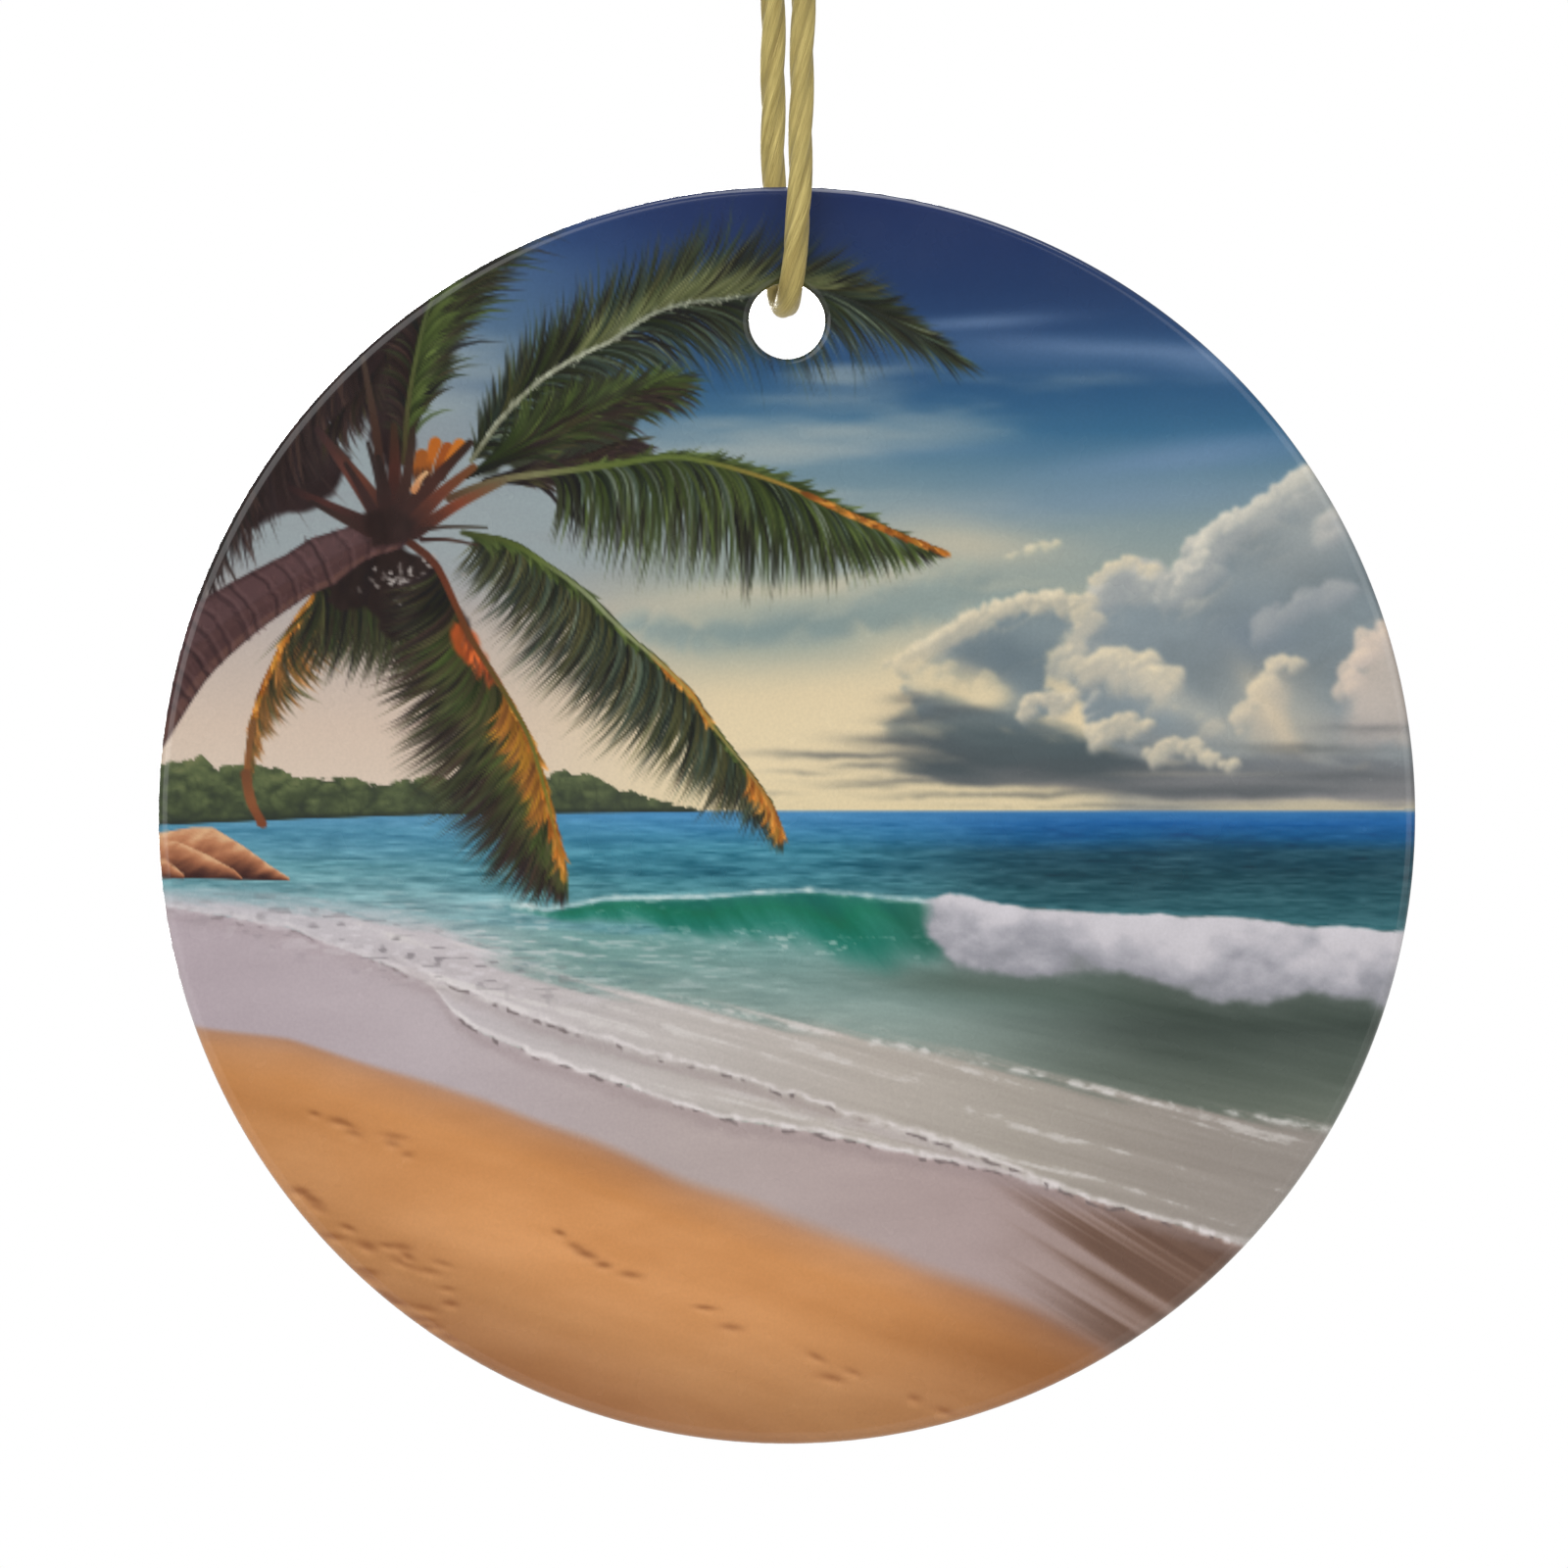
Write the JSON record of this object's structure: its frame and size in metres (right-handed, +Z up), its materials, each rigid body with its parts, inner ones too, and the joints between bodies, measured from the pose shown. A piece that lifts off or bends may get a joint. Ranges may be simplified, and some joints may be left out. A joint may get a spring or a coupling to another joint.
{
  "type": "souvenir christmas ornament",
  "caption": "Flat round ceramic hanging ornament with a glossy printed front, threaded on a loop of gold cord that is tied in a knot at the top.",
  "frame": {"origin": "where the loop hangs, just under the knot, between the two strands", "axes": "+Z up along the hanging loop, printed face towards -Y, +X to the viewer's right"},
  "size_m": [0.073, 0.0076, 0.145],
  "materials": {
    "glazed_porcelain": "white glossy glaze",
    "printed_gloss_coating": "full-colour print under a glossy coating",
    "metallic_cord": "satin metallic thread, three-ply twist"
  },
  "bodies": {
    "knot": {"tied_knot": "metallic_cord"},
    "loop": {"hanging_cord": "metallic_cord"},
    "disc": {"ceramic_disc": "glazed_porcelain", "print_coating": "printed_gloss_coating"}
  },
  "joints": [
    {"name": "loop_swing", "type": "hinge", "parent": "knot", "child": "loop", "pos_m": [0, 0, 0], "axis": [1, 0, 0], "range_deg": [-40, 40]},
    {"name": "disc_swing", "type": "hinge", "parent": "loop", "child": "disc", "pos_m": [0, 0, -0.0673], "axis": [0, 1, 0], "range_deg": [-45, 45]}
  ]
}
